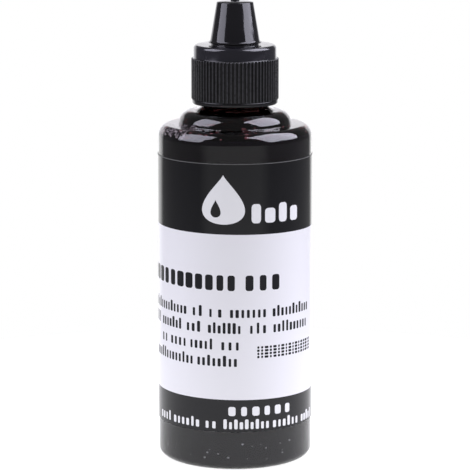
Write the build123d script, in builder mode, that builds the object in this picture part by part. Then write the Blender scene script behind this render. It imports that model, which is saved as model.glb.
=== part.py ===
from build123d import *
import os

# A 100 ml refill ink bottle: a clear blown bottle of ink with a printed wrap, a ribbed screw cap with a
# turret and plug pin, a foam liner, and a conical spout that rises round the pin to open.
# Millimetres. The base stands on Z = 0, the bottle's axis is Z, and the front of the wrap faces -Y.

# Bottle body
body_r = 20.35
wall = 0.65
base_ring_r = 15.4          # where the pushed-up base meets the flat standing ring
base_push_up = 2.2
base_hollow_foot = 0.6      # share of the ring's radius where the hollow starts to rise
base_curve = (3.2, 2.4)     # radial and upright half axes of the rounded base edge
shoulder_z = 86.48          # top of the straight wall
shoulder_curve = (2.52, 3.2)
dome_r = 14.88              # the small upper dome that stands on the shoulder
dome_curve_w = 3.93
dome_top_z = 93.37
dome_root = 0.35            # small hollow radius at the foot of the dome

# Neck finish, 20-410: 8 threads to the inch, one and a half turns
neck_r = 8.8
neck_bore_r = 7.3
neck_foot_z = 94.3
neck_top_z = 108.2
neck_rim_round = 0.4
pitch = 3.175
neck_thread_turns = 1.5
neck_thread_r = 9.7
neck_thread_foot_w = 1.9
neck_thread_crest_w = 0.8
neck_thread_z = 102.1       # height of the lower end of the neck's thread
thread_sink = 0.2           # how far each thread's foot is buried in its wall

# Ink and wrap
ink_level_z = 86.5
ink_gap = 0.02
wrap_bottom_z = 10.73
wrap_top_z = 81.9
wrap_r = 20.5
wrap_inner_r = body_r + 0.02

# Screw cap
cap_bottom_z = 95.0
cap_mouth_edge = 0.3
cap_band_r = 11.36          # plain band round the mouth
cap_band_top_z = 96.3
cap_rib_count = 70
cap_rib_root_r = 11.2
cap_rib_centre_r = 11.17
cap_rib_round = 0.33
cap_rib_top_z = 107.2
cap_crown_r = 10.92         # smooth band above the ribs
cap_top_z = 110.66
cap_edge_round = 0.9
cap_bore_r = 10.0
cap_roof_z = 109.2          # underside of the cap's top plate
cap_thread_r = 9.15
cap_thread_foot_w = 1.5
cap_thread_crest_w = 0.6
cap_thread_drop = 1.215     # the cap's thread hangs this far below the neck's
cap_thread_lead = 1         # and starts this many turns before it
cap_thread_turns = 2

# Turret and plug pin, moulded with the cap
collar_r = 6.3
collar_top_z = 111.1
turret_r = 3.7
turret_bore_r = 2.7
piston_r = 4.05
piston_bottom_z = 115.5
piston_top_z = 118.4
piston_edge = 0.25
spoke_count = 3
spoke_w = 0.9
spoke_root = 0.2            # how far each spoke is buried in the turret's wall
spoke_bottom_z = 116.2
spoke_top_z = 117.6
pin_r = 1.13
pin_tip_z = 122.8
pin_round = 0.25

# Foam liner
liner_r = 9.75
liner_hole_r = 3.2

# Twist spout
lip_r = 7.0                 # sharp lip round the spout's foot
lip_z = 111.2
lip_edge = 0.12
lip_flare = (-1, 0.5)       # direction in which the lip leaves for the cone
cone_foot_r = 6.5
cone_foot_z = 111.9
spout_top_r = 4.87
spout_top_z = 121.95
spout_edge_round = 0.25
spout_shell = 1.05
sleeve_r = 5.0
sleeve_bore_r = 4.15
sleeve_bottom_z = 111.6
sleeve_roof_z = 120.5
bead_r = 3.8
bead_top_z = 112.4
bead_edge = 0.3
orifice_r = 1.18
pocket_top_z = 115.4

os.makedirs("parts", exist_ok=True)


def body_outline(inset, throat_r):
    """Draws the bottle's half outline, moved inwards by inset, from the axis up to the foot of the neck."""
    base_w, base_h = base_curve
    shoulder_w, shoulder_h = shoulder_curve
    base_r = body_r - base_w
    shoulder_r = body_r - shoulder_w
    ledge_z = shoulder_z + shoulder_h
    dome_foot_z = ledge_z + dome_root
    dome_centre_r = dome_r - dome_curve_w
    Bezier((0, base_push_up + inset), (base_ring_r / 2, base_push_up + inset),
           (base_ring_r * base_hollow_foot, inset), (base_ring_r, inset))
    Line((base_ring_r, inset), (base_r, inset))
    EllipticalCenterArc((base_r, base_h), base_w - inset, base_h - inset, -90, arc_size=90)
    Line((body_r - inset, base_h), (body_r - inset, shoulder_z))
    EllipticalCenterArc((shoulder_r, shoulder_z), shoulder_w - inset, shoulder_h - inset, 0, arc_size=90)
    Line((shoulder_r, ledge_z - inset), (dome_r + dome_root, ledge_z - inset))
    root = dome_root + inset
    EllipticalCenterArc((dome_r + dome_root, dome_foot_z), root, root, -90, arc_size=-90)
    EllipticalCenterArc((dome_centre_r, dome_foot_z), dome_curve_w - inset,
                        dome_top_z - dome_foot_z - inset, 0, arc_size=90)
    EllipticalCenterArc((dome_centre_r, neck_foot_z), dome_centre_r - throat_r,
                        neck_foot_z - dome_top_z + inset, -90, arc_size=-90)


def thread_profile(path, foot_w, crest_w, depth):
    """Draws a thread's section across the start of its helix, standing out by depth."""
    with BuildSketch(Plane(origin=path @ 0, x_dir=(1, 0, 0), z_dir=path % 0)) as profile:
        with BuildLine():
            Polyline((0, -foot_w / 2), (depth, -crest_w / 2), (depth, crest_w / 2), (0, foot_w / 2),
                     close=True)
        make_face()
    return profile.sketch


# Bottle: one shell of blown PET with a threaded, thicker neck and a pushed-up base.
neck_thread_helix = Helix(pitch, pitch * neck_thread_turns, neck_r - thread_sink,
                          center=(0, 0, neck_thread_z))
neck_thread = thread_profile(neck_thread_helix, neck_thread_foot_w, neck_thread_crest_w,
                             neck_thread_r - neck_r + thread_sink)
with BuildPart() as bottle:
    with BuildSketch(Plane.XZ):
        with BuildLine():
            body_outline(0, neck_r)
            Line((neck_r, neck_foot_z), (neck_r, neck_top_z - neck_rim_round))
            RadiusArc((neck_r, neck_top_z - neck_rim_round), (neck_r - neck_rim_round, neck_top_z),
                      -neck_rim_round)
            Polyline((neck_r - neck_rim_round, neck_top_z), (0, neck_top_z), (0, base_push_up))
        make_face()
    revolve(axis=Axis.Z)
    sweep(neck_thread, path=neck_thread_helix, is_frenet=True)
    with BuildSketch(Plane.XZ):
        with BuildLine():
            body_outline(wall, neck_bore_r)
            Polyline((neck_bore_r, neck_foot_z), (neck_bore_r, neck_top_z), (0, neck_top_z),
                     (0, base_push_up + wall))
        make_face()
    revolve(axis=Axis.Z, mode=Mode.SUBTRACT)
bottle.part.label = "bottle"
export_step(bottle.part, "parts/bottle.step")

# Ink: fills the body up to just above the start of the shoulder.
with BuildPart() as ink_fill:
    with BuildSketch(Plane.XZ):
        with BuildLine():
            body_outline(wall + ink_gap, neck_bore_r)
            Polyline((neck_bore_r, neck_foot_z), (0, neck_foot_z), (0, base_push_up + wall + ink_gap))
        make_face()
    revolve(axis=Axis.Z)
    split(bisect_by=Plane.XY.offset(ink_level_z), keep=Keep.BOTTOM)
ink_fill.part.label = "ink_fill"
export_step(ink_fill.part, "parts/ink_fill.step")

# Wrap label: a plastic film once round the straight wall.
with BuildPart() as wrap_label:
    with BuildSketch(Plane.XY.offset(wrap_bottom_z)):
        Circle(wrap_r)
        Circle(wrap_inner_r, mode=Mode.SUBTRACT)
    extrude(amount=wrap_top_z - wrap_bottom_z)
wrap_label.part.label = "wrap_label"
export_step(wrap_label.part, "parts/wrap_label.step")

# Screw cap: ribbed skirt, smooth crown, collar, turret with a piston rim, spokes and plug pin, one moulding.
cap_thread_helix = Helix(pitch, pitch * cap_thread_turns, cap_bore_r + thread_sink,
                         center=(0, 0, neck_thread_z - cap_thread_drop - cap_thread_lead * pitch))
cap_thread = thread_profile(cap_thread_helix, cap_thread_foot_w, cap_thread_crest_w,
                            cap_thread_r - cap_bore_r - thread_sink)
with BuildPart() as screw_cap:
    with BuildSketch(Plane.XZ):
        with BuildLine():
            Polyline((cap_bore_r + cap_mouth_edge, cap_bottom_z),
                     (cap_band_r - cap_mouth_edge, cap_bottom_z),
                     (cap_band_r, cap_bottom_z + cap_mouth_edge), (cap_band_r, cap_band_top_z),
                     (cap_rib_root_r, cap_band_top_z), (cap_rib_root_r, cap_rib_top_z),
                     (cap_crown_r, cap_rib_top_z), (cap_crown_r, cap_top_z - cap_edge_round))
            RadiusArc((cap_crown_r, cap_top_z - cap_edge_round),
                      (cap_crown_r - cap_edge_round, cap_top_z), -cap_edge_round)
            Polyline((cap_crown_r - cap_edge_round, cap_top_z), (collar_r, cap_top_z),
                     (collar_r, collar_top_z), (turret_r, collar_top_z), (turret_r, piston_bottom_z),
                     (piston_r, piston_bottom_z), (piston_r, piston_top_z - piston_edge),
                     (piston_r - piston_edge, piston_top_z), (turret_bore_r, piston_top_z),
                     (turret_bore_r, cap_roof_z), (cap_bore_r, cap_roof_z),
                     (cap_bore_r, cap_bottom_z + cap_mouth_edge),
                     (cap_bore_r + cap_mouth_edge, cap_bottom_z))
        make_face()
    revolve(axis=Axis.Z)
    with BuildSketch(Plane.XY.offset(cap_band_top_z)):
        with PolarLocations(cap_rib_centre_r, cap_rib_count):
            Circle(cap_rib_round)
        Circle(cap_rib_root_r - cap_rib_round, mode=Mode.SUBTRACT)
    extrude(amount=cap_rib_top_z - cap_band_top_z)
    sweep(cap_thread, path=cap_thread_helix, is_frenet=True)
    spoke_length = turret_bore_r + spoke_root
    with BuildSketch(Plane.XY.offset(spoke_bottom_z)):
        with PolarLocations(spoke_length / 2, spoke_count):
            Rectangle(spoke_length, spoke_w)
    extrude(amount=spoke_top_z - spoke_bottom_z)
    with BuildSketch(Plane.XZ):
        with BuildLine():
            Polyline((0, spoke_bottom_z), (pin_r, spoke_bottom_z), (pin_r, pin_tip_z - pin_round))
            RadiusArc((pin_r, pin_tip_z - pin_round), (pin_r - pin_round, pin_tip_z), -pin_round)
            Polyline((pin_r - pin_round, pin_tip_z), (0, pin_tip_z), (0, spoke_bottom_z))
        make_face()
    revolve(axis=Axis.Z)
screw_cap.part.label = "screw_cap"
export_step(screw_cap.part, "parts/screw_cap.step")

# Liner: a foam washer held between the cap's top plate and the neck's rim.
with BuildPart() as cap_liner:
    with BuildSketch(Plane.XY.offset(neck_top_z)):
        Circle(liner_r)
        Circle(liner_hole_r, mode=Mode.SUBTRACT)
    extrude(amount=cap_roof_z - neck_top_z)
cap_liner.part.label = "cap_liner"
export_step(cap_liner.part, "parts/cap_liner.step")

# Twist spout: a cone with a sharp lip, an inner sleeve that slides on the turret's piston, a bead that
# stops it coming off, and an orifice that the plug pin fills when the spout is down.
cone_slope = (cone_foot_r - spout_top_r) / (spout_top_z - cone_foot_z)
edge_r = spout_top_r + cone_slope * spout_edge_round
with BuildPart() as twist_spout:
    with BuildSketch(Plane.XZ):
        with BuildLine():
            Line((lip_r - lip_edge, lip_z), (lip_r, lip_z + lip_edge))
            Spline((lip_r, lip_z + lip_edge), (cone_foot_r, cone_foot_z),
                   tangents=(lip_flare, (-cone_slope, 1)))
            Line((cone_foot_r, cone_foot_z), (edge_r, spout_top_z - spout_edge_round))
            RadiusArc((edge_r, spout_top_z - spout_edge_round),
                      (spout_top_r - spout_edge_round, spout_top_z), -spout_edge_round)
            Polyline((spout_top_r - spout_edge_round, spout_top_z), (orifice_r, spout_top_z),
                     (orifice_r, sleeve_roof_z), (sleeve_bore_r, sleeve_roof_z),
                     (sleeve_bore_r, bead_top_z),
                     (bead_r, bead_top_z - bead_edge), (bead_r, sleeve_bottom_z + bead_edge),
                     (bead_r + bead_edge, sleeve_bottom_z), (sleeve_r, sleeve_bottom_z),
                     (sleeve_r, pocket_top_z), (cone_foot_r - spout_shell, cone_foot_z),
                     (cone_foot_r - spout_shell, lip_z), (lip_r - lip_edge, lip_z))
        make_face()
    revolve(axis=Axis.Z)
twist_spout.part.label = "twist_spout"
export_step(twist_spout.part, "parts/twist_spout.step")
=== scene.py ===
import math

import bmesh
import bpy
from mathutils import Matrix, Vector


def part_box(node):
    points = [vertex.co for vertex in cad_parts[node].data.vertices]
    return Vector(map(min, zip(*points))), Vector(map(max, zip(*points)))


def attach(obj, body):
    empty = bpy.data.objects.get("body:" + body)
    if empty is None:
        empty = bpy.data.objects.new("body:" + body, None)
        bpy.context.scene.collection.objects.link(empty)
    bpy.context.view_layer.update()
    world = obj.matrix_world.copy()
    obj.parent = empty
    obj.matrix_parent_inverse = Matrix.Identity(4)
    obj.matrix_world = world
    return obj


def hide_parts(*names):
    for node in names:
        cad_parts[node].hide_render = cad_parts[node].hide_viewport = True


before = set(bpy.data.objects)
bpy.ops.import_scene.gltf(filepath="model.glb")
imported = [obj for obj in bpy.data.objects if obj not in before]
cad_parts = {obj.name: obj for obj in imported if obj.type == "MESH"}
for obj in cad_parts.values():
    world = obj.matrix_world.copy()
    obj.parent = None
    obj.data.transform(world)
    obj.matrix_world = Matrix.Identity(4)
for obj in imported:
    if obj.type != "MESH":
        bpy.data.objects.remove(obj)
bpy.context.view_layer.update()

# The view: a long lens a little above the bottle, looking down at it, with the wrap's front facing it.
# Sizes in this script are millimetres, and MM brings them to metres.
MM = 0.001
view_distance, view_height, view_tilt, view_lens = 751.9, 195.35, 10.23, 219.65
camera = bpy.data.objects.new("camera", bpy.data.cameras.new("camera"))
camera.data.lens = view_lens
camera.data.sensor_width = 36
camera.data.clip_start = 0.01
camera.location = (0, -view_distance * MM, view_height * MM)
camera.rotation_euler = (math.radians(90 - view_tilt), 0, 0)
bpy.context.scene.collection.objects.link(camera)
bpy.context.scene.camera = camera
bpy.context.scene.view_settings.view_transform = "Standard"


# Bottle: one shell of clear blown PET with a rounded base edge, a pushed-up middle, a stepped shoulder
# and a thicker moulded neck. Its outline is turned about the axis, and the thread is raised on the neck.
def add_node(tree, kind, inputs=None, **settings):
    """Adds a node, sets its settings, and gives its inputs values or links from other nodes."""
    new = tree.nodes.new(kind)
    for name, value in settings.items():
        setattr(new, name, value)
    for key, value in (inputs or {}).items():
        if isinstance(value, bpy.types.NodeSocket):
            tree.links.new(value, new.inputs[key])
        else:
            new.inputs[key].default_value = value
    return new


def maths(tree, operation, *values, clamp=False):
    """Adds a Math node on one, two or three values, and returns its result."""
    given = dict(enumerate(values))
    return add_node(tree, "ShaderNodeMath", given, operation=operation, use_clamp=clamp).outputs[0]


def new_tree(name, **inputs):
    """Starts a Geometry Nodes tree with a mesh in and out, and the named inputs with their kinds."""
    tree = bpy.data.node_groups.new(name, "GeometryNodeTree")
    tree.interface.new_socket("Geometry", in_out="OUTPUT", socket_type="NodeSocketGeometry")
    tree.interface.new_socket("Geometry", in_out="INPUT", socket_type="NodeSocketGeometry")
    for key, kind in inputs.items():
        tree.interface.new_socket(key, in_out="INPUT", socket_type="NodeSocket" + kind)
    return tree, tree.nodes.new("NodeGroupInput").outputs


def end_tree(tree, shape, material):
    """Ends a tree in Realize Instances and Set Material."""
    solid = add_node(tree, "GeometryNodeRealizeInstances", {0: shape})
    painted = add_node(tree, "GeometryNodeSetMaterial", {0: solid.outputs[0], "Material": material})
    tree.links.new(painted.outputs[0], tree.nodes.new("NodeGroupOutput").inputs[0])


def run_trees(name, mesh, steps, crease=35, thickness=0):
    """Runs (tree, inputs) steps on a mesh, and keeps the result as one plain mesh with sharp creases."""
    shape = bpy.data.objects.new(name, mesh)
    bpy.context.scene.collection.objects.link(shape)
    if thickness:
        solid = shape.modifiers.new("thickness", "SOLIDIFY")
        solid.thickness = thickness * MM
        solid.offset = -1
    for tree, inputs in steps:
        modifier = shape.modifiers.new(tree.name, "NODES")
        modifier.node_group = tree
        for item in tree.interface.items_tree:
            if item.in_out == "INPUT" and item.name in inputs:
                modifier[item.identifier] = inputs[item.name]
    evaluated = shape.evaluated_get(bpy.context.evaluated_depsgraph_get())
    result = bpy.data.meshes.new_from_object(evaluated)
    shape.modifiers.clear()
    shape.data = result
    work = bmesh.new()
    work.from_mesh(result)
    bmesh.ops.recalc_face_normals(work, faces=work.faces)
    work.to_mesh(result)
    work.free()
    result.shade_smooth()
    result.set_sharp_from_angle(angle=math.radians(crease))
    return shape


def lathe_tree():
    """Turns an outline of edges, drawn as radius and height, once round the Z axis."""
    tree, given = new_tree("lathe", Segments="Int", Material="Material")
    path_r = MM
    placed = add_node(tree, "GeometryNodeTransform",
                      {0: given["Geometry"], "Translation": (-path_r, 0, 0), "Scale": (1, -1, 1)})
    outline = add_node(tree, "GeometryNodeMeshToCurve", {0: placed.outputs[0]})
    circle = add_node(tree, "GeometryNodeCurvePrimitiveCircle",
                      {"Resolution": given["Segments"], "Radius": path_r})
    swept = add_node(tree, "GeometryNodeCurveToMesh", {0: circle.outputs[0], 1: outline.outputs[0]})
    merged = add_node(tree, "GeometryNodeMergeByDistance", {0: swept.outputs[0], "Distance": 1e-6})
    end_tree(tree, merged.outputs[0], given["Material"])
    return tree


def polar(tree):
    """The point's radius, its share of a turn counted from +X, its height, and its outward direction."""
    place = add_node(tree, "GeometryNodeInputPosition").outputs[0]
    axes = add_node(tree, "ShaderNodeSeparateXYZ", {0: place}).outputs
    flat = add_node(tree, "ShaderNodeCombineXYZ", {0: axes[0], 1: axes[1]}).outputs[0]
    radius = add_node(tree, "ShaderNodeVectorMath", {0: flat}, operation="LENGTH").outputs["Value"]
    outward = add_node(tree, "ShaderNodeVectorMath", {0: flat}, operation="NORMALIZE").outputs[0]
    angle = maths(tree, "ARCTAN2", axes[1], axes[0])
    turn = maths(tree, "FRACT", maths(tree, "DIVIDE", angle, math.tau))
    return radius, turn, axes[2], outward


def push_out(tree, shape, outward, rise):
    """Moves the points of a shape outwards by rise."""
    offset = add_node(tree, "ShaderNodeVectorMath", {0: outward, "Scale": rise}, operation="SCALE")
    return add_node(tree, "GeometryNodeSetPosition", {0: shape, "Offset": offset.outputs[0]}).outputs[0]


pitch = 3.175
thread_lead_in = 0.12       # share of a turn over which a thread grows from nothing
same_r = 0.02 * MM          # how near a point's radius is to a given one when the two count as equal


def thread_tree():
    """Raises a right-hand screw thread on the points that stand at the given radius."""
    sizes = dict.fromkeys(["Radius", "Height", "Start", "Turns", "Foot", "Crest"], "Float")
    tree, given = new_tree("thread", **sizes, Material="Material")
    radius, turn, height, outward = polar(tree)
    climb = maths(tree, "DIVIDE", maths(tree, "SUBTRACT", height, given["Start"]), pitch * MM)
    from_start = maths(tree, "SUBTRACT", climb, turn)
    lap = maths(tree, "ROUND", from_start)
    off_crest = maths(tree, "ABSOLUTE", maths(tree, "SUBTRACT", from_start, lap))
    away = maths(tree, "MULTIPLY", off_crest, pitch * MM)
    slope_w = maths(tree, "DIVIDE", maths(tree, "SUBTRACT", given["Foot"], given["Crest"]), 2.0)
    inside = maths(tree, "SUBTRACT", maths(tree, "DIVIDE", given["Foot"], 2.0), away)
    flank = maths(tree, "DIVIDE", inside, slope_w, clamp=True)
    done = maths(tree, "ADD", lap, turn)
    grow = maths(tree, "DIVIDE", done, thread_lead_in, clamp=True)
    left = maths(tree, "SUBTRACT", given["Turns"], done)
    fade = maths(tree, "DIVIDE", left, thread_lead_in, clamp=True)
    here = maths(tree, "COMPARE", radius, given["Radius"], same_r)
    ends = maths(tree, "MULTIPLY", grow, fade)
    share = maths(tree, "MULTIPLY", ends, maths(tree, "MULTIPLY", flank, here))
    rise = maths(tree, "MULTIPLY", share, given["Height"])
    end_tree(tree, push_out(tree, given["Geometry"], outward, rise), given["Material"])
    return tree


def arc(centre_r, centre_z, half_w, half_h, start, end, steps=10):
    """Points of an elliptical arc of an outline, from start to end in degrees."""
    turns = [math.radians(start + (end - start) * i / steps) for i in range(steps + 1)]
    return [(centre_r + half_w * math.cos(a), centre_z + half_h * math.sin(a)) for a in turns]


def round_corner(r, z, size, start, end, steps):
    """Points of a rounded corner of an outline, whose two sides would meet at radius r and height z."""
    middle = math.radians((start + end) / 2)
    centre_r = r - math.copysign(size, math.cos(middle))
    centre_z = z - math.copysign(size, math.sin(middle))
    return arc(centre_r, centre_z, size, size, start, end, steps)


def line(start, end, steps):
    """Points along a straight stretch of an outline."""
    return [(start[0] + (end[0] - start[0]) * i / steps, start[1] + (end[1] - start[1]) * i / steps)
            for i in range(steps + 1)]


def bezier(a, b, c, d, steps=12):
    """Points of a cubic curve from a to d."""
    points = []
    for i in range(steps + 1):
        t = i / steps
        left = 1 - t
        points.append(tuple(left ** 3 * a[k] + 3 * left ** 2 * t * b[k]
                            + 3 * left * t * t * c[k] + t ** 3 * d[k] for k in (0, 1)))
    return points


def outline_mesh(points, closed=False):
    """An outline of edges from (radius, height) points."""
    kept = [p for i, p in enumerate(points) if i == 0 or math.dist(p, points[i - 1]) > 1e-4]
    mesh = bpy.data.meshes.new("outline")
    edges = [(i, (i + 1) % len(kept)) for i in range(len(kept) if closed else len(kept) - 1)]
    mesh.from_pydata([(r * MM, z * MM, 0) for r, z in kept], edges, [])
    return mesh


def new_material(name, colour, roughness, **sockets):
    """A material with constant values on its Principled shader. Returns it, its tree and the shader."""
    material = bpy.data.materials.new(name)
    material.use_nodes = True
    shader = material.node_tree.nodes["Principled BSDF"]
    shader.inputs["Base Color"].default_value = (*colour, 1)
    shader.inputs["Roughness"].default_value = roughness
    for key, value in sockets.items():
        shader.inputs[key.replace("_", " ")].default_value = value
    return material, material.node_tree, shader


def grain(tree, size, detail=3.0, stretch=(1, 1, 1)):
    """A noise pattern on the piece's own coordinates, with features of this size in millimetres."""
    place = add_node(tree, "ShaderNodeTexCoord").outputs["Object"]
    scaled = add_node(tree, "ShaderNodeMapping", {"Vector": place, "Scale": stretch}).outputs[0]
    noise = add_node(tree, "ShaderNodeTexNoise",
                     {"Vector": scaled, "Scale": 1 / (size * MM), "Detail": detail, "Roughness": 0.6})
    return noise.outputs["Fac"]


def spread(tree, value, low, high, start=0.3, end=0.7):
    """Brings a pattern's values between two numbers."""
    given = {"Value": value, "From Min": start, "From Max": end, "To Min": low, "To Max": high}
    return add_node(tree, "ShaderNodeMapRange", given).outputs[0]


def add_ripple(tree, shader, height, depth):
    """Bends the light on a surface by a pattern, to a depth in millimetres."""
    bump = add_node(tree, "ShaderNodeBump", {"Height": height, "Distance": depth * MM, "Strength": 1.0})
    tree.links.new(bump.outputs[0], shader.inputs["Normal"])


_, body_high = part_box("bottle")
body_r, rim_z = body_high.x / MM, body_high.z / MM
wall = 0.65
base_ring_r, base_push_up, base_hollow_foot = 15.4, 2.2, 0.6
base_curve = (3.2, 2.4)
shoulder_z, shoulder_curve = 86.48, (2.52, 3.2)
dome_r, dome_curve_w, dome_top_z, dome_root = 14.88, 3.55, 93.37, 0.35
neck_r, neck_bore_r, neck_foot_z, rim_round = 8.8, 7.3, 95.0, 0.4
gate_r, gate_flat, gate_depth, gate_root = 1.5, 0.6, 0.45, 0.1
neck_rows, thread_start_z = 84, 102.1
neck_thread = {"Radius": neck_r * MM, "Height": 0.9 * MM, "Start": thread_start_z * MM, "Turns": 1.5,
               "Foot": 1.9 * MM, "Crest": 0.8 * MM}


def body_outline(inset, throat_r):
    """The bottle's half outline, moved inwards by inset, from the axis up to the foot of the neck."""
    ledge_z = shoulder_z + shoulder_curve[1]
    dome_foot_z = ledge_z + dome_root
    dome_centre_r = dome_r - dome_curve_w
    root = dome_root + inset
    return (bezier((0, base_push_up + inset), (base_ring_r / 2, base_push_up + inset),
                   (base_ring_r * base_hollow_foot, inset), (base_ring_r, inset))
            + arc(body_r - base_curve[0], base_curve[1], base_curve[0] - inset, base_curve[1] - inset,
                  -90, 0)
            + arc(body_r - shoulder_curve[0], shoulder_z, shoulder_curve[0] - inset,
                  shoulder_curve[1] - inset, 0, 90, 14)
            + arc(dome_r + dome_root, dome_foot_z, root, root, -90, -180)
            + arc(dome_centre_r, dome_foot_z, dome_curve_w - inset,
                  dome_top_z - dome_foot_z - inset, 0, 90, 14)
            + arc(dome_centre_r, neck_foot_z, dome_centre_r - throat_r,
                  neck_foot_z - dome_top_z + inset, -90, -180))


clear_pet, pet_nodes, pet_shader = new_material("clear_pet", (0.97, 0.975, 0.985), 0.02, IOR=1.5,
                                                Transmission_Weight=1.0)
add_ripple(pet_nodes, pet_shader, grain(pet_nodes, 9, 2), 0.02)

lathe, thread = lathe_tree(), thread_tree()
gate_z = base_push_up - gate_depth
gate = [(0, gate_z), (gate_r * gate_flat, gate_z), (gate_r, base_push_up - gate_root)]
bottle_outline = (gate + body_outline(0, neck_r)[2:]
                  + line((neck_r, neck_foot_z), (neck_r, rim_z - rim_round), neck_rows)
                  + round_corner(neck_r, rim_z, rim_round, 0, 90, 5)
                  + round_corner(neck_bore_r, rim_z, rim_round, 90, 180, 5)
                  + [(neck_bore_r, neck_foot_z)] + body_outline(wall, neck_bore_r)[::-1])
bottle = run_trees("bottle_shell", outline_mesh(bottle_outline),
                   [(lathe, {"Segments": 192, "Material": clear_pet}),
                    (thread, neck_thread | {"Material": clear_pet})])
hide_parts("bottle")
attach(bottle, "bottle_body")

# Ink: fills the body, wets its wall, and climbs a little where it meets the wall. It is too dark to see
# into, so it bites a trace into the PET and leaves no air between them.
bite = 0.08
ink_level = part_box("ink_fill")[1].z / MM
ink_climb, ink_reach, ink_brim, climb_steps = 1.3, 2.4, 0.2, 8
ink_side, _, _ = new_material("ink_behind_wall", (0.003, 0.002, 0.0035), 0.5, Specular_IOR_Level=0.0)
ink_top, _, _ = new_material("ink_surface", (0.004, 0.0025, 0.003), 0.03, IOR=1.36)
wetted = [p for p in body_outline(wall - bite, neck_bore_r) if p[1] < ink_level + ink_climb]
edge_r, edge_z = wetted[-1]
meniscus = [(edge_r - ink_reach * i / climb_steps,
             ink_level + (edge_z - ink_level) * (1 - i / climb_steps) ** 3)
            for i in range(1, climb_steps + 1)]
ink = run_trees("ink_body", outline_mesh(wetted + meniscus + [(0, ink_level)]),
                [(lathe, {"Segments": 160, "Material": ink_side})])
ink.data.materials.append(ink_top)
for face in ink.data.polygons:
    above = face.center.z > ink_level * MM - 1e-6
    inside = math.hypot(face.center.x, face.center.y) < (edge_r - ink_brim) * MM
    face.material_index = int(above and inside)
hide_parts("ink_fill")
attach(ink, "bottle_body")


# Ink film: the thin coat that shaking and carrying leave on the wall above the ink. It thins and streaks
# as it drains, so brown-red light comes through it in places, and it is thinnest up in the neck.
def own_place(tree):
    """The piece's own coordinates, together and as three separate values."""
    place = add_node(tree, "ShaderNodeTexCoord").outputs["Object"]
    return place, add_node(tree, "ShaderNodeSeparateXYZ", {0: place}).outputs


def mix_colours(tree, share, first, second):
    """Passes from one colour to another as the share goes from 0 to 1."""
    given = {0: share, 6: first, 7: second}
    return add_node(tree, "ShaderNodeMix", given, data_type="RGBA").outputs[2]


film_reach = 0.035
film_low_z, film_high_z = ink_level + 0.6, 106.0
thin_from_z, thin_above_z = 93.5, 95.5
film_thick, film_thin, film_streak = (0.004, 0.0015, 0.003, 1), (0.12, 0.06, 0.062, 1), (0.5, 0.075, 0.07, 1)
film, film_nodes, film_shader = new_material("ink_film", (0.05, 0.004, 0.004), 0.1, IOR=1.05,
                                             Transmission_Weight=1.0)
_, film_axes = own_place(film_nodes)
in_neck = spread(film_nodes, film_axes[2], 0, 1, thin_from_z * MM, thin_above_z * MM)
streaks = spread(film_nodes, grain(film_nodes, 2.4, 4, (1, 1, 3.5)), 0, 1, 0.54, 0.74)
film_coat = mix_colours(film_nodes, in_neck, film_thick, film_thin)
film_coat = mix_colours(film_nodes, streaks, film_coat, film_streak)
film_nodes.links.new(film_coat, film_shader.inputs["Base Color"])
film_outer = [p for p in body_outline(wall - film_reach, neck_bore_r + film_reach) if p[1] > film_low_z]
film_inner = [p for p in body_outline(wall + film_reach, neck_bore_r - film_reach) if p[1] > film_low_z]
film_outer.append((neck_bore_r + film_reach, film_high_z))
film_inner.append((neck_bore_r - film_reach, film_high_z))
ink_coat = run_trees("ink_film", outline_mesh(film_outer + film_inner[::-1], closed=True),
                     [(lathe, {"Segments": 160, "Material": film})])
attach(ink_coat, "bottle_body")

# Drops, foam and stain: what carrying leaves on the wall's inner face. Beads of ink hang on the shoulder,
# foam sits at its left, a brown stain dries in the neck, and grey specks stand in the bare wall by the base.
# Each is a scatter of flattened beads, sunk a little into the wall.
bead_shape = (1.7, 1, 0.55)
bead_depth, speck_depth = 0.12, 0.2
drops_low_z, drops_high_z, foam_low_z, stain_low_z = ink_level + 1, 90.5, 87.6, 93.2
specks_low_z, specks_high_z = 2.5, 7.5
all_round, foam_bearings = (0, 360), (168, 228)


def drops_tree():
    """Scatters flattened beads of random size over a surface, which itself is left out."""
    tree, given = new_tree("drops", Density="Float", Smallest="Float", Largest="Float", Seed="Int",
                           Material="Material")
    scattered = add_node(tree, "GeometryNodeDistributePointsOnFaces",
                         {"Mesh": given["Geometry"], "Density": given["Density"], "Seed": given["Seed"]})
    bead = add_node(tree, "GeometryNodeMeshIcoSphere", {"Radius": 1.0, "Subdivisions": 2})
    flat = add_node(tree, "GeometryNodeTransform", {0: bead.outputs[0], "Scale": bead_shape})
    size = add_node(tree, "FunctionNodeRandomValue",
                    {2: given["Smallest"], 3: given["Largest"], "Seed": given["Seed"]}, data_type="FLOAT")
    beads = add_node(tree, "GeometryNodeInstanceOnPoints",
                     {"Points": scattered.outputs["Points"], "Instance": flat.outputs[0],
                      "Rotation": scattered.outputs["Rotation"], "Scale": size.outputs[1]})
    end_tree(tree, beads.outputs[0], given["Material"])
    return tree


def wall_patch(rows, start, end):
    """A patch of wall through these points of its outline, between two bearings in degrees from +X."""
    columns = 24
    points = []
    for r, z in rows:
        for i in range(columns + 1):
            bearing = math.radians(start + (end - start) * i / columns)
            points.append((r * math.cos(bearing) * MM, r * math.sin(bearing) * MM, z * MM))
    span = columns + 1
    faces = [(j * span + i, j * span + i + 1, (j + 1) * span + i + 1, (j + 1) * span + i)
             for j in range(len(rows) - 1) for i in range(columns)]
    mesh = bpy.data.meshes.new("wall_patch")
    mesh.from_pydata(points, [], faces)
    return mesh


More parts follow.
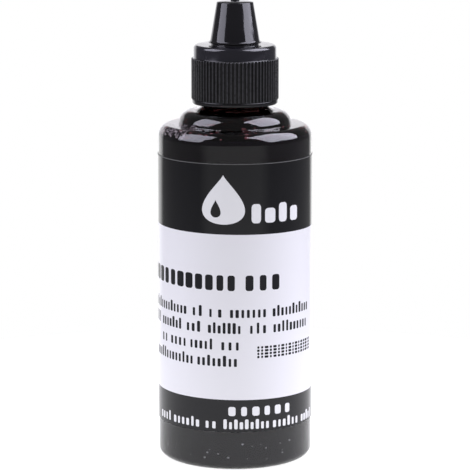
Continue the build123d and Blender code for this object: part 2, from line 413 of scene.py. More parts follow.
drops = drops_tree()
bead_ink, _, _ = new_material("ink_beads", (0.1, 0.03, 0.034), 0.06, IOR=1.36)
cell_dark, _, _ = new_material("foam_cells", (0.02, 0.012, 0.016), 0.05, IOR=1.36)
cell_pale, _, _ = new_material("foam_bubbles", (0.4, 0.34, 0.37), 0.05, IOR=1.36)
stain_brown, _, _ = new_material("neck_stain", (0.07, 0.022, 0.02), 0.2, IOR=1.36)
speck_grey, _, _ = new_material("wall_specks", (0.22, 0.215, 0.23), 0.3)
inner_rows = body_outline(wall - bead_depth, neck_bore_r)
shoulder_rows = [p for p in inner_rows if drops_low_z < p[1] < drops_high_z]
foam_rows = [p for p in shoulder_rows if p[1] > foam_low_z]
stain_rows = [p for p in inner_rows if p[1] > stain_low_z]
speck_r = body_r - speck_depth
speck_rows = line((speck_r, specks_low_z), (speck_r, specks_high_z), 3)
# Each scatter's name, material, patch of wall, beads to the square metre, size range and seed.
scatters = [("ink_drops", bead_ink, shoulder_rows, all_round, 9e4, (0.15, 0.42), 4),
            ("foam_cells", cell_dark, foam_rows, foam_bearings, 5e6, (0.08, 0.19), 6),
            ("foam", cell_pale, foam_rows, foam_bearings, 3.6e6, (0.08, 0.2), 7),
            ("wall_specks", speck_grey, speck_rows, all_round, 9e4, (0.06, 0.22), 3),
            ("neck_stain", stain_brown, stain_rows, all_round, 9e5, (0.25, 0.6), 5)]
for name, material, rows, bearings, density, (smallest, largest), seed in scatters:
    scatter = {"Density": density, "Smallest": smallest * MM, "Largest": largest * MM, "Seed": seed,
               "Material": material}
    piece = run_trees(name, wall_patch(rows, *bearings), [(drops, scatter)])
    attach(piece, "bottle_body")

# Liner: a white foam washer between the cap's top plate and the neck's rim. It turns with nothing: the
# cap presses it on the rim and carries it up.
liner_low, liner_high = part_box("cap_liner")
liner_r, liner_hole_r, liner_edge = liner_high.x / MM, 3.2, 0.12
liner_bottom, liner_top = liner_low.z / MM, liner_high.z / MM
liner_foam, foam_nodes, foam_shader = new_material("liner_foam", (0.78, 0.78, 0.74), 0.8)
add_ripple(foam_nodes, foam_shader, grain(foam_nodes, 0.25, 2), 0.02)
liner_outline = (round_corner(liner_r, liner_bottom, liner_edge, -90, 0, 3)
                 + round_corner(liner_r, liner_top, liner_edge, 0, 90, 3)
                 + [(liner_hole_r, liner_top), (liner_hole_r, liner_bottom)])
liner = run_trees("foam_liner", outline_mesh(liner_outline, closed=True),
                  [(lathe, {"Segments": 96, "Material": liner_foam})])
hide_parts("cap_liner")
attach(liner, "liner")

# Screw cap: injection-moulded black polypropylene. A skirt with a fine grip of half-round ribs, a smooth
# crown, and a top plate that carries the turret. It is glossy all over. Its rib band is painted darker as
# shade between the ribs, and the rib crests are painted lighter as a highlight, mottled with scuffs.
cap_low, cap_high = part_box("screw_cap")
skirt_lift, mouth_chamfer = 0.15, 0.3
cap_bottom = cap_low.z / MM + skirt_lift
band_r, band_top, crown_r, cap_top, cap_bore_r, cap_roof = 11.36, 96.3, 10.92, 110.66, 10.0, 109.2
rib_root_r, rib_count, rib_round, rib_top, rib_run_out, steps_per_rib = 11.2, 70, 0.33, 107.2, 0.2, 14
small_edge, foot_edge, cap_edge, cap_hollow_edge, small_chamfer = 0.12, 0.4, 0.9, 0.5, 0.1
collar_r, collar_foot, collar_top = 6.3, cap_roof + 0.5, 111.1
turret_r, turret_bore_r = 3.7, 2.7
plate_hole_r = turret_bore_r + 0.3
piston_r, piston_bottom, piston_top, piston_edge = 4.05, 115.5, 118.4, 0.25
# Radii above the rib root over which the crests take their painted highlight, and the height above the ribs'
# top over which the painted shade of the rib band fades out.
crest_sheen_from, crest_sheen_to, rib_shade_end = 0.12, 0.31, 0.1
# Plain black, the darker black of the painted shade over the rib band, and the lighter black of the painted
# highlight on the rib crests.
smooth_black, painted_rib_shade_black = (0.015, 0.0145, 0.02, 1), (0.002, 0.002, 0.003, 1)
painted_crest_sheen_black = (0.029, 0.028, 0.033, 1)


def ribs_tree():
    """Raises half-round upright ribs on the points that stand at the given radius, between two heights."""
    sizes = dict.fromkeys(["Radius", "Bottom", "Top", "Rib", "Run"], "Float")
    tree, given = new_tree("ribs", Count="Int", **sizes, Material="Material")
    radius, turn, height, outward = polar(tree)
    cell = maths(tree, "SUBTRACT", maths(tree, "FRACT", maths(tree, "MULTIPLY", turn, given["Count"])), 0.5)
    pitch_w = maths(tree, "DIVIDE", maths(tree, "MULTIPLY", given["Radius"], math.tau), given["Count"])
    aside = maths(tree, "MULTIPLY", cell, pitch_w)
    rib_square = maths(tree, "POWER", given["Rib"], 2.0)
    aside_square = maths(tree, "POWER", maths(tree, "ABSOLUTE", aside), 2.0)
    square = maths(tree, "SUBTRACT", rib_square, aside_square)
    bulge = maths(tree, "SQRT", maths(tree, "MAXIMUM", square, 0.0))
    above = maths(tree, "SUBTRACT", height, given["Bottom"])
    below = maths(tree, "SUBTRACT", given["Top"], height)
    from_low = maths(tree, "DIVIDE", above, given["Run"], clamp=True)
    from_top = maths(tree, "DIVIDE", below, given["Run"], clamp=True)
    ends = maths(tree, "SQRT", maths(tree, "MINIMUM", from_low, from_top))
    here = maths(tree, "COMPARE", radius, given["Radius"], same_r)
    rise = maths(tree, "MULTIPLY", maths(tree, "MULTIPLY", bulge, ends), here)
    end_tree(tree, push_out(tree, given["Geometry"], outward, rise), given["Material"])
    return tree


def vary_roughness(tree, shader, size, low, high):
    """Lets the roughness wander between two values, in patches of this size in millimetres."""
    tree.links.new(spread(tree, grain(tree, size), low, high), shader.inputs["Roughness"])


cap_black, cap_nodes, cap_shader = new_material("cap_black", (0.011, 0.0105, 0.013), 0.13, IOR=1.49)
_, (cap_x, cap_y, cap_height) = own_place(cap_nodes)
cap_x_square, cap_y_square = maths(cap_nodes, "POWER", cap_x, 2.0), maths(cap_nodes, "POWER", cap_y, 2.0)
cap_reach = maths(cap_nodes, "SQRT", maths(cap_nodes, "ADD", cap_x_square, cap_y_square))
# Painted shade: the rib band is coloured darker, fading out just above the ribs' top. Painted highlight: the
# rib crests are coloured lighter, mottled with scuffs.
rib_shade_share = spread(cap_nodes, cap_height, 1, 0, rib_top * MM, (rib_top + rib_shade_end) * MM)
on_crest = spread(cap_nodes, cap_reach, 0, 1, (rib_root_r + crest_sheen_from) * MM, (rib_root_r + crest_sheen_to) * MM)
scuffs = spread(cap_nodes, grain(cap_nodes, 0.8, 2), 0.5, 1.5)
rib_shaded_black = mix_colours(cap_nodes, rib_shade_share, smooth_black, painted_rib_shade_black)
crest_sheen_and_scuffs = mix_colours(cap_nodes, maths(cap_nodes, "MULTIPLY", on_crest, scuffs), rib_shaded_black, painted_crest_sheen_black)
cap_nodes.links.new(crest_sheen_and_scuffs, cap_shader.inputs["Base Color"])
vary_roughness(cap_nodes, cap_shader, 2.5, 0.09, 0.2)
add_ripple(cap_nodes, cap_shader, grain(cap_nodes, 4, 2), 0.03)

run_out_rows = [rib_run_out * t for t in (0, 0.25, 0.5, 0.75, 1, 1.2, 2)]
rib_rows = [band_top + run for run in run_out_rows] + [rib_top - run for run in run_out_rows[::-1]]
cap_outline = (round_corner(band_r, cap_bottom, foot_edge, -90, 0, 5)
               + round_corner(band_r, band_top, small_edge, 0, 90, 3)
               + [(rib_root_r, z) for z in rib_rows]
               + round_corner(crown_r, rib_top, small_edge, -90, -180, 3)
               + round_corner(crown_r, cap_top, cap_edge, 0, 90, 9)
               + [(collar_r, cap_top), (plate_hole_r, cap_top), (plate_hole_r, cap_roof)]
               + round_corner(cap_bore_r, cap_roof, cap_hollow_edge, 90, 0, 4)
               + [(cap_bore_r, cap_bottom + mouth_chamfer), (cap_bore_r + mouth_chamfer, cap_bottom)])
cap = run_trees("cap_shell", outline_mesh(cap_outline, closed=True),
                [(lathe, {"Segments": rib_count * steps_per_rib, "Material": cap_black}),
                 (ribs_tree(), {"Count": rib_count, "Radius": rib_root_r * MM, "Bottom": band_top * MM,
                                "Top": rib_top * MM, "Rib": rib_round * MM, "Run": rib_run_out * MM,
                                "Material": cap_black})])
turret_outline = (round_corner(collar_r, collar_top, small_edge, 0, 90, 3)
                  + round_corner(turret_r, collar_top, cap_hollow_edge, -90, -180, 4)
                  + [(turret_r, piston_bottom), (piston_r - small_chamfer, piston_bottom),
                     (piston_r, piston_bottom + small_chamfer)]
                  + round_corner(piston_r, piston_top, piston_edge, 0, 90, 4)
                  + [(turret_bore_r, piston_top), (turret_bore_r, cap_roof), (turret_r, cap_roof),
                     (turret_r, collar_foot), (collar_r, collar_foot)])
turret = run_trees("cap_turret", outline_mesh(turret_outline, closed=True),
                   [(lathe, {"Segments": 128, "Material": cap_black})])

# Thread of the cap: a low rib moulded twice round the inside of the skirt. It stands between the turns of
# the neck's thread, and its foot is sunk a little into the skirt.
cap_thread_turns, cap_thread_foot, cap_thread_crest, cap_thread_r, thread_bite = 2.0, 1.5, 0.6, 9.15, 0.2
below_neck_thread = 1.215
cap_thread_start = thread_start_z - below_neck_thread - pitch


def helix_tree():
    """Winds a four-cornered section round the axis."""
    tree, given = new_tree("helix", Turns="Float", Radius="Float", Start="Float", Pitch="Float",
                           Material="Material")
    rise = maths(tree, "MULTIPLY", given["Turns"], given["Pitch"])
    spiral = add_node(tree, "GeometryNodeCurveSpiral",
                      {"Resolution": 96, "Rotations": given["Turns"], "Start Radius": given["Radius"],
                       "End Radius": given["Radius"], "Height": rise})
    place = add_node(tree, "ShaderNodeCombineXYZ", {2: given["Start"]})
    lifted = add_node(tree, "GeometryNodeTransform", {0: spiral.outputs[0], "Translation": place.outputs[0]})
    upright = add_node(tree, "GeometryNodeSetCurveNormal", {0: lifted.outputs[0]}, mode="Z_UP")
    section = add_node(tree, "GeometryNodeMeshToCurve", {0: given["Geometry"]})
    swept = add_node(tree, "GeometryNodeCurveToMesh",
                     {0: upright.outputs[0], 1: section.outputs[0], "Fill Caps": True})
    end_tree(tree, swept.outputs[0], given["Material"])
    return tree


section = [(thread_bite, -cap_thread_foot / 2), (cap_thread_r - cap_bore_r, -cap_thread_crest / 2),
           (cap_thread_r - cap_bore_r, cap_thread_crest / 2), (thread_bite, cap_thread_foot / 2)]
cap_thread = run_trees("cap_thread", outline_mesh(section, closed=True),
                       [(helix_tree(), {"Turns": cap_thread_turns, "Radius": cap_bore_r * MM,
                                        "Start": cap_thread_start * MM, "Pitch": pitch * MM,
                                        "Material": cap_black})])

# Plug pin: stands in the middle of the turret on three spokes, all moulded with the cap. It shuts the
# spout's hole when the spout is down, and ink runs out between the spokes when the spout is up.
pin_r, pin_tip, pin_round, spoke_w, spoke_bottom, spoke_top = 1.13, cap_high.z / MM, 0.25, 0.9, 116.2, 117.6
spoke_bite, spoke_edge = 0.2, 0.1
pin_outline = ([(0, spoke_bottom), (pin_r - small_chamfer, spoke_bottom),
                (pin_r, spoke_bottom + small_chamfer)]
               + round_corner(pin_r, pin_tip, pin_round, 0, 90, 5) + [(0, pin_tip)])
pin = run_trees("plug_pin", outline_mesh(pin_outline), [(lathe, {"Segments": 48, "Material": cap_black})])


def ring_tree():
    """Repeats a shape round the Z axis."""
    tree, given = new_tree("ring", Count="Int", Material="Material")
    points = add_node(tree, "GeometryNodePoints", {"Count": given["Count"]})
    index = add_node(tree, "GeometryNodeInputIndex").outputs[0]
    angle = maths(tree, "MULTIPLY", index, maths(tree, "DIVIDE", math.tau, given["Count"]))
    turned = add_node(tree, "ShaderNodeCombineXYZ", {2: angle})
    copies = add_node(tree, "GeometryNodeInstanceOnPoints",
                      {"Points": points.outputs[0], "Instance": given["Geometry"],
                       "Rotation": turned.outputs[0]})
    end_tree(tree, copies.outputs[0], given["Material"])
    return tree


def block_mesh(low, high, edge):
    """A block between two corners, with its edges cut back by edge."""
    work = bmesh.new()
    bmesh.ops.create_cube(work, size=1)
    for vert in work.verts:
        vert.co = Vector([(low[k] + (high[k] - low[k]) * (vert.co[k] + 0.5)) * MM for k in range(3)])
    bmesh.ops.bevel(work, geom=work.edges, offset=edge * MM, segments=2, affect="EDGES", profile=0.5)
    mesh = bpy.data.meshes.new("block")
    work.to_mesh(mesh)
    work.free()
    return mesh


spoke_low = (pin_r - spoke_bite, -spoke_w / 2, spoke_bottom)
spoke_high = (turret_bore_r + spoke_bite, spoke_w / 2, spoke_top)
spokes = run_trees("pin_spokes", block_mesh(spoke_low, spoke_high, spoke_edge),
                   [(ring_tree(), {"Count": 3, "Material": cap_black})])
for piece in (cap, turret, cap_thread, pin, spokes):
    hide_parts("screw_cap")
    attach(piece, "cap")

# Twist spout: a glossy black cone with a sharp lip at its foot. Inside, a sleeve slides on the turret,
# and the hole in its top opens when the cone is raised off the pin.
spout_low, spout_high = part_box("twist_spout")
lip_z, spout_top, lip_r = spout_low.z / MM, spout_high.z / MM, spout_high.x / MM
cone_foot_r, cone_foot_z, spout_top_r, spout_edge, spout_wall, orifice_r = 6.5, 111.9, 4.87, 0.25, 1.05, 1.18
sleeve_r, sleeve_bore_r, sleeve_bottom, sleeve_roof, pocket_top = 5.0, 4.15, 111.6, 120.5, 115.4
bead_r, bead_top, bead_edge = 3.8, 112.4, 0.3
spout_dome, lip_face, lip_under, orifice_round = 0.3, 0.28, 0.12, 0.15
crest_z = spout_top + spout_dome
spout_black, spout_nodes, spout_shader = new_material("spout_black", (0.011, 0.0105, 0.013), 0.09, IOR=1.39)
vary_roughness(spout_nodes, spout_shader, 2.0, 0.06, 0.13)
add_ripple(spout_nodes, spout_shader, grain(spout_nodes, 3.2, 1.5, (1, 1, 0.6)), 0.07)
spout_outline = ([(lip_r, lip_z + 0.1)]
                 + bezier((lip_r, lip_z + lip_face), (lip_r - 0.25, lip_z + lip_face),
                          (cone_foot_r + 0.08, cone_foot_z - 0.3), (cone_foot_r, cone_foot_z + 0.1), 6)
                 + round_corner(spout_top_r, spout_top, spout_edge, 8, 80, 5)
                 + bezier((spout_top_r - 0.6, spout_top + spout_dome * 0.35),
                          (spout_top_r - 1.4, spout_top + spout_dome * 0.8),
                          (spout_top_r - 2.2, crest_z), (orifice_r + orifice_round, crest_z), 8)
                 + round_corner(orifice_r, crest_z, orifice_round, 90, 180, 3)
                 + [(orifice_r, sleeve_roof), (sleeve_bore_r, sleeve_roof), (sleeve_bore_r, bead_top),
                    (bead_r, bead_top - bead_edge), (bead_r, sleeve_bottom + bead_edge),
                    (bead_r + bead_edge, sleeve_bottom), (sleeve_r, sleeve_bottom), (sleeve_r, pocket_top),
                    (cone_foot_r - spout_wall, cone_foot_z), (cone_foot_r - spout_wall, lip_z),
                    (lip_r - lip_under, lip_z)])
spout = run_trees("spout_cone", outline_mesh(spout_outline, closed=True),
                  [(lathe, {"Segments": 160, "Material": spout_black})])
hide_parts("twist_spout")
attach(spout, "spout")

# Wrap: a plastic film once round the straight wall, printed black, white and black, and glued where its
# end laps over its start at the back. The print runs a little askew on it, and its cut edges show pale.
wrap_low, wrap_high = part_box("wrap_label")
wrap_r, wrap_bottom, wrap_top = wrap_high.x / MM, wrap_low.z / MM, wrap_high.z / MM
wrap_film_t, wrap_lap, lap_ramp, lap_gap, cut_margin = 0.13, 4.0, 2.5, 0.02, 0.16
print_skew = -0.0109
white_bottom, white_top = 19.41, 63.36
half_round = math.pi * wrap_r


def roll_tree():
    """Rolls a flat sheet, drawn in X and Z with Y as its depth, round the bottle with X as arc length."""
    tree, given = new_tree("roll", Radius="Float", Skew="Float", Material="Material")
    axes = add_node(tree, "ShaderNodeSeparateXYZ",
                    {0: add_node(tree, "GeometryNodeInputPosition").outputs[0]}).outputs
    angle = maths(tree, "DIVIDE", axes[0], given["Radius"])
    reach = maths(tree, "SUBTRACT", given["Radius"], axes[1])
    height = maths(tree, "ADD", axes[2], maths(tree, "MULTIPLY", axes[0], given["Skew"]))
    aside = maths(tree, "MULTIPLY", reach, maths(tree, "SINE", angle))
    ahead = maths(tree, "MULTIPLY", maths(tree, "MULTIPLY", reach, -1.0), maths(tree, "COSINE", angle))
    place = add_node(tree, "ShaderNodeCombineXYZ", {0: aside, 1: ahead, 2: height})
    rolled = add_node(tree, "GeometryNodeSetPosition", {0: given["Geometry"], "Position": place.outputs[0]})
    end_tree(tree, rolled.outputs[0], given["Material"])
    return tree


def wrap_sheet():
    """The film laid flat, with a row of points along each edge of the print."""
    columns = 420
    mesh = bpy.data.meshes.new("wrap_sheet")
    points = []
    for i in range(columns + 1):
        x = -half_round + (2 * half_round + wrap_lap) * i / columns
        past = min(max((x - half_round + lap_ramp) / lap_ramp, 0), 1)
        y = -(wrap_film_t + lap_gap) * past * past * (3 - 2 * past)
        askew = print_skew * x
        rows = [wrap_bottom, wrap_bottom + cut_margin, white_bottom + askew, white_top + askew,
                wrap_top - cut_margin, wrap_top]
        points += [(x * MM, y * MM, z * MM) for z in rows]
    count = len(rows)
    faces = [(i * count + j, (i + 1) * count + j, (i + 1) * count + j + 1, i * count + j + 1)
             for i in range(columns) for j in range(count - 1)]
    mesh.from_pydata(points, [], faces)
    return mesh


print_black, black_nodes, black_shader = new_material("print_black", (0.006, 0.006, 0.0075), 0.12, IOR=1.38)
vary_roughness(black_nodes, black_shader, 3.0, 0.08, 0.16)
add_ripple(black_nodes, black_shader, grain(black_nodes, 14, 2), 0.025)
print_white, white_nodes, white_shader = new_material("print_white", (0.79, 0.785, 0.83), 0.3, IOR=1.45)
add_ripple(white_nodes, white_shader, grain(white_nodes, 14, 2), 0.025)
film_edge, _, _ = new_material("film_edge", (0.12, 0.12, 0.12), 0.4)
roll = roll_tree()
wrap = run_trees("wrap_film", wrap_sheet(),
                 [(roll, {"Radius": wrap_r * MM, "Skew": 0.0, "Material": print_black})],
                 thickness=wrap_film_t)
wrap.data.materials.append(print_white)
wrap.data.materials.append(film_edge)
for face in wrap.data.polygons:
    x = wrap_r * math.atan2(face.center.x, -face.center.y)
    z = face.center.z / MM - print_skew * x
    if white_bottom < z < white_top:
        face.material_index = 1
    if face.center.z / MM > wrap_top - cut_margin:
        face.material_index = 2
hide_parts("wrap_label")
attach(wrap, "bottle_body")

# Print on the wrap: a white drop with four small blocks beside it on the black band, rows of dark blocks
# in the place of text on the white, a patch of stamped dots, and rows of white blocks on the lower band.
print_proud, print_t = 0.012, 0.02
block_corner = 0.3          # share of a block's width
tall_above, narrowest, widest, wide_block = 0.68, 0.8, 1.15, 1.3


def blocks_tree():
    """Sets a rounded block at every pitch along straight edges, some of them taller, as words of a line."""
    sizes = dict.fromkeys(["Pitch", "Width", "Height", "Taller"], "Float")
    tree, given = new_tree("blocks", Seed="Int", Level="Int", **sizes, Material="Material")
    words = add_node(tree, "GeometryNodeMeshToCurve", {0: given["Geometry"]})
    places = add_node(tree, "GeometryNodeResampleCurve",
                      {"Curve": words.outputs[0], "Length": given["Pitch"]}, mode="LENGTH")
    frame_line = add_node(tree, "GeometryNodeCurvePrimitiveQuadrilateral",
                          {"Width": given["Width"], "Height": given["Height"]}, mode="RECTANGLE")
    rounding = maths(tree, "MULTIPLY", given["Width"], block_corner)
    eased = add_node(tree, "GeometryNodeFilletCurve",
                     {"Curve": frame_line.outputs[0], "Count": 3, "Radius": rounding}, mode="POLY")
    filled = add_node(tree, "GeometryNodeFillCurve", {0: eased.outputs[0]})
    divided = add_node(tree, "GeometryNodeSubdivideMesh", {0: filled.outputs[0], "Level": given["Level"]})
    raised = maths(tree, "DIVIDE", given["Height"], 2.0)
    lift = add_node(tree, "ShaderNodeCombineXYZ", {2: raised})
    upright = add_node(tree, "GeometryNodeTransform",
                       {0: divided.outputs[0], "Translation": lift.outputs[0],
                        "Rotation": (math.pi / 2, 0, 0)})
    drawn = add_node(tree, "FunctionNodeRandomValue",
                     {2: 0.0, 3: 1.0, "Seed": given["Seed"]}, data_type="FLOAT")
    tall = maths(tree, "GREATER_THAN", drawn.outputs[1], tall_above)
    rise = maths(tree, "ADD", maths(tree, "MULTIPLY", tall, given["Taller"]), 1.0)
    next_seed = maths(tree, "ADD", given["Seed"], 1.0)
    wide = add_node(tree, "FunctionNodeRandomValue",
                    {2: narrowest, 3: widest, "Seed": next_seed}, data_type="FLOAT")
    scale = add_node(tree, "ShaderNodeCombineXYZ", {0: wide.outputs[1], 1: 1.0, 2: rise})
    row = add_node(tree, "GeometryNodeInstanceOnPoints",
                   {"Points": places.outputs[0], "Instance": upright.outputs[0], "Scale": scale.outputs[0]})
    end_tree(tree, row.outputs[0], given["Material"])
    return tree


def thicken_tree():
    """Gives flat print its thickness, towards the viewer, with its back and sides closed."""
    tree, given = new_tree("thicken", Depth="Float", Material="Material")
    depth = add_node(tree, "ShaderNodeCombineXYZ", {1: maths(tree, "MULTIPLY", given["Depth"], -1.0)})
    grown = add_node(tree, "GeometryNodeExtrudeMesh",
                     {"Mesh": given["Geometry"], "Offset": depth.outputs[0], "Offset Scale": 1.0,
                      "Individual": False})
    back = add_node(tree, "GeometryNodeFlipFaces", {0: given["Geometry"]})
    both = add_node(tree, "GeometryNodeJoinGeometry")
    tree.links.new(grown.outputs[0], both.inputs[0])
    tree.links.new(back.outputs[0], both.inputs[0])
    closed = add_node(tree, "GeometryNodeMergeByDistance", {0: both.outputs[0], "Distance": 1e-6})
    end_tree(tree, closed.outputs[0], given["Material"])
    return tree


def flat_lines(lines):
    """Edges for the words of some lines, each line a height and its words' left and right ends."""
    mesh = bpy.data.meshes.new("words")
    points = [(x * MM, 0, z * MM) for z, words in lines for word in words for x in word]
    mesh.from_pydata(points, [(i, i + 1) for i in range(0, len(points), 2)], [])
    return mesh


def print_on_wrap(name, material, mesh, steps=()):
    """Thickens flat print, after any steps that make it, and rolls it onto the wrap."""
    laid = [*steps,
            (thicken, {"Depth": print_t * MM, "Material": material}),
            (roll, {"Radius": (wrap_r + print_proud - print_t) * MM, "Skew": print_skew,
                    "Material": material})]
    piece = run_trees(name, mesh, laid)
    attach(piece, "bottle_body")


def print_lines(name, material, lines, cell, width, height, taller, seed):
    """Prints lines of blocks. Wide blocks are divided, so that they follow the wrap's curve."""
    set_out = {"Pitch": cell * MM, "Width": width * MM, "Height": height * MM, "Taller": taller,
               "Level": 2 if width > wide_block else 0, "Seed": seed, "Material": material}
    print_on_wrap(name, material, flat_lines(lines), [(blocks, set_out)])


blocks, thicken = blocks_tree(), thicken_tree()
text_dark, _, _ = new_material("text_dark", (0.008, 0.008, 0.011), 0.3, IOR=1.3)
text_white, _, _ = new_material("text_white", (0.8, 0.8, 0.83), 0.3)
stamp_dark, _, _ = new_material("stamp_dark", (0.012, 0.012, 0.015), 0.5, IOR=1.3)
print_lines("print_title", text_dark, [(48.5, [(-36.6, -1.0), (3.8, 11.2)])], 2.9, 2.1, 4.1, 0.0, 2)
print_lines("print_body", text_dark,
            [(41.36, [(-30, -14.2), (-11.3, -9.4), (-6.5, -4), (-0.9, 7.9), (10.7, 24)]),
             (37.1, [(-30, -26.8), (-24, -16), (-13.2, -9.9), (-6.8, 1.1), (4.3, 7.9), (10.9, 23.2)]),
             (32.7, [(-24, -22.2), (-19.3, -14.4), (-12.1, -6.4), (-3.2, 0.6)]),
             (28.3, [(-29.7, -12.1), (-9.9, 0.1)])], 1.28, 0.78, 2.15, 0.36, 5)
print_lines("print_stamp", stamp_dark,
            [(30.5 + 0.85 * row, [(6.2 + 2.5 * k, 8.3 + 2.5 * k) for k in range(8)]) for row in range(4)],
            0.8, 0.64, 0.62, 0.0, 8)
print_lines("print_notice", text_white, [(15.1, [(-0.8, 15.1)])], 2.7, 1.8, 2.45, 0.0, 3)
print_lines("print_notice_line", text_white,
            [(11.55, [(-25.1, -20.5), (-18.1, -10.3), (-7.5, -5.6), (-2.6, 8.8), (10.9, 18.8),
                      (21.4, 27.1)])], 1.36, 0.86, 1.9, 0.38, 6)
print_lines("print_marks", text_white, [(66.35, [(5.6, 17.3)])], 3.9, 2.6, 3.9, 0.3, 4)

# The drop of the print: white ink on the upper black band, pointed at its top, with a small black drop
# printed over it at its left for a glint.
drop_x, drop_low_z, drop_h, drop_half_w, drop_sharpness = -3.1, 66.0, 13.0, 5.7, 1.5
glint_aside, glint_up, glint_h, glint_half_w, glint_proud = 2.0, 1.8, 4.6, 1.35, 0.012


def drop_sheet(centre_x, low_z, tall, half_w, depth):
    """A flat drop, pointed at the top, of rows whose half widths follow a sine power curve."""
    rows, columns = 36, 24
    widths = [math.sin(math.pi * j / rows) * math.sin(math.pi * j / rows / 2) ** drop_sharpness
              for j in range(rows + 1)]
    fullest = max(widths)
    points = []
    for j in range(rows + 1):
        z = low_z + tall * (1 + math.cos(math.pi * j / rows)) / 2
        for i in range(columns + 1):
            x = centre_x + half_w * widths[j] / fullest * (2 * i / columns - 1)
            points.append((x * MM, -depth * MM, z * MM))
    span = columns + 1
    faces = [(j * span + i, (j + 1) * span + i, (j + 1) * span + i + 1, j * span + i + 1)
             for j in range(rows) for i in range(columns)]
    mesh = bpy.data.meshes.new("drop")
    mesh.from_pydata(points, [], faces)
    return mesh


print_on_wrap("print_drop", text_white, drop_sheet(drop_x, drop_low_z, drop_h, drop_half_w, 0))
print_on_wrap("print_drop_glint", print_black,
              drop_sheet(drop_x - glint_aside, drop_low_z + glint_up, glint_h, glint_half_w, glint_proud))

# The stage: a pale lit floor round the bottle, a wider table that only reflections see, brighter at the
# front and fading with distance, and a white room behind.
floor_radius, table_radius, disc_sides = 160, 900, 96
floor_glow, table_glow, table_far_glow, table_side_share = 0.95, 0.95, 0.55, 0.35
backdrop_way = (-0.1, 0.995, 0)
backdrop_glow, room_glow, soft_glow, backdrop_height = 1.5, 0.18, 0.66, 0.2


def stage_disc(name, radius, hole, material):
    """A flat round stage piece, with or without a round hole."""
    work = bmesh.new()
    turns = [math.tau * i / disc_sides for i in range(disc_sides)]
    rings = [[work.verts.new((r * MM * math.cos(a), r * MM * math.sin(a), 0)) for a in turns]
             for r in (hole, radius)]
    for i in range(disc_sides):
        k = (i + 1) % disc_sides
        work.faces.new((rings[0][i], rings[1][i], rings[1][k], rings[0][k]))
    if hole < 1:
        work.faces.new(rings[0])
    mesh = bpy.data.meshes.new(name)
    work.to_mesh(mesh)
    work.free()
    mesh.materials.append(material)
    disc = bpy.data.objects.new(name, mesh)
    bpy.context.scene.collection.objects.link(disc)
    return disc


floor_pale, _, floor_shader = new_material("floor_pale", (0.35, 0.35, 0.35), 0.9,
                                           Emission_Strength=floor_glow)
floor_shader.inputs["Emission Color"].default_value = (1, 1, 1, 1)
table_pale, table_nodes, table_shader = new_material("table_pale", (0, 0, 0), 0.9, Emission_Strength=1.0)
table_place, table_axes = own_place(table_nodes)
table_length = add_node(table_nodes, "ShaderNodeVectorMath", {0: table_place}, operation="LENGTH")
table_reach = table_length.outputs["Value"]
table_facing = maths(table_nodes, "DIVIDE", table_axes[1], table_reach)
table_front = spread(table_nodes, table_facing, 1.0, table_side_share, -0.8, -0.6)
table_fall = spread(table_nodes, table_reach, table_glow, table_far_glow, 200 * MM, 600 * MM)
table_way = add_node(table_nodes, "ShaderNodeVectorMath", {0: table_place, 1: backdrop_way},
                     operation="DOT_PRODUCT")
table_behind = maths(table_nodes, "DIVIDE", table_way.outputs["Value"], table_reach)
table_back = spread(table_nodes, table_behind, 0.0, backdrop_glow, 0.74, 0.86)
table_near = maths(table_nodes, "MULTIPLY", table_fall, table_front)
table_light = maths(table_nodes, "MAXIMUM", table_near, table_back)
table_nodes.links.new(table_light, table_shader.inputs["Emission Color"])
stage_disc("floor", floor_radius, 0.5, floor_pale)
table = stage_disc("table", table_radius, floor_radius, table_pale)
table.visible_camera = False
table.visible_diffuse = False

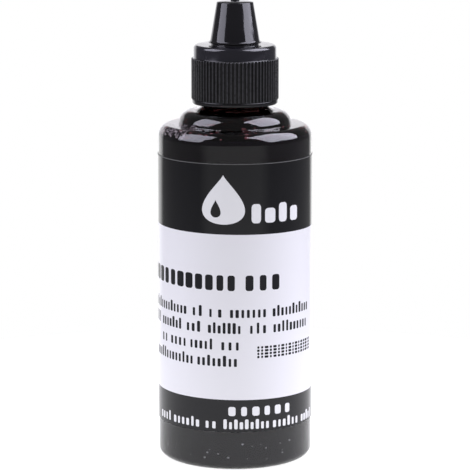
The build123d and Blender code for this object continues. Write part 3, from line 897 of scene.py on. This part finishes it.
room = bpy.data.worlds.new("room")
room.use_nodes = True
room_nodes = room.node_tree
room_nodes.nodes.clear()
direction = add_node(room_nodes, "ShaderNodeTexCoord").outputs["Generated"]
axes = add_node(room_nodes, "ShaderNodeSeparateXYZ", {0: direction}).outputs
behind_way = add_node(room_nodes, "ShaderNodeVectorMath", {0: direction, 1: backdrop_way},
                      operation="DOT_PRODUCT")
behind = spread(room_nodes, behind_way.outputs["Value"], 0, 1, 0.76, 0.86)
low = spread(room_nodes, axes[2], 1, 0, backdrop_height, backdrop_height + 0.12)
backdrop = spread(room_nodes, maths(room_nodes, "MULTIPLY", behind, low), room_glow, backdrop_glow, 0, 1)
sharp = add_node(room_nodes, "ShaderNodeBackground", {"Color": (0.97, 0.96, 1, 1), "Strength": backdrop})
soft = add_node(room_nodes, "ShaderNodeBackground", {"Color": (0.955, 0.95, 1, 1), "Strength": soft_glow})
white = add_node(room_nodes, "ShaderNodeBackground", {"Color": (1, 1, 1, 1), "Strength": 1.0})
seen = add_node(room_nodes, "ShaderNodeLightPath").outputs
lit = add_node(room_nodes, "ShaderNodeMixShader",
               {0: seen["Is Diffuse Ray"], 1: sharp.outputs[0], 2: soft.outputs[0]})
either = add_node(room_nodes, "ShaderNodeMixShader",
                  {0: seen["Is Camera Ray"], 1: lit.outputs[0], 2: white.outputs[0]})
room_nodes.links.new(either.outputs[0], room_nodes.nodes.new("ShaderNodeOutputWorld").inputs[0])
bpy.context.scene.world = room

# Lights, all turned to the bottle: a tall bright softbox at each side, which only the gloss reflects, and a
# dimmer panel further round each side, which lights the matt surfaces.
light_distance = 700
light_centre = Vector((0, 0, 90 * MM))
light_tint = (0.86, 0.85, 1.0)


def softbox(name, bearing, climb, half_w, half_h, radiance, for_gloss):
    """A softbox at a bearing from the front, with half sizes given as shares of its distance."""
    lamp = bpy.data.lights.new(name, "AREA")
    lamp.shape = "RECTANGLE"
    lamp.size = 2 * half_w * light_distance * MM
    lamp.size_y = 2 * half_h * light_distance * MM
    lamp.energy = radiance * math.pi * lamp.size * lamp.size_y
    lamp.color = light_tint
    box = bpy.data.objects.new(name, lamp)
    bearing, climb = math.radians(bearing), math.radians(climb)
    flat = math.cos(climb)
    away = Vector((math.sin(bearing) * flat, -math.cos(bearing) * flat, math.sin(climb)))
    box.location = light_centre + away * light_distance * MM
    box.rotation_euler = away.to_track_quat("Z", "Y").to_euler()
    box.visible_camera = False
    box.visible_diffuse = not for_gloss
    box.visible_glossy = for_gloss
    box.visible_transmission = for_gloss
    bpy.context.scene.collection.objects.link(box)


softbox("softbox_left", -74, 36, 0.40, 0.51, 6.2, True)
softbox("softbox_right", 80, 41, 0.58, 0.554, 8.8, True)
softbox("fill_left", -95, 30, 0.30, 0.51, 2.1, False)
softbox("fill_right", 95, 30, 0.30, 0.554, 3.5, False)
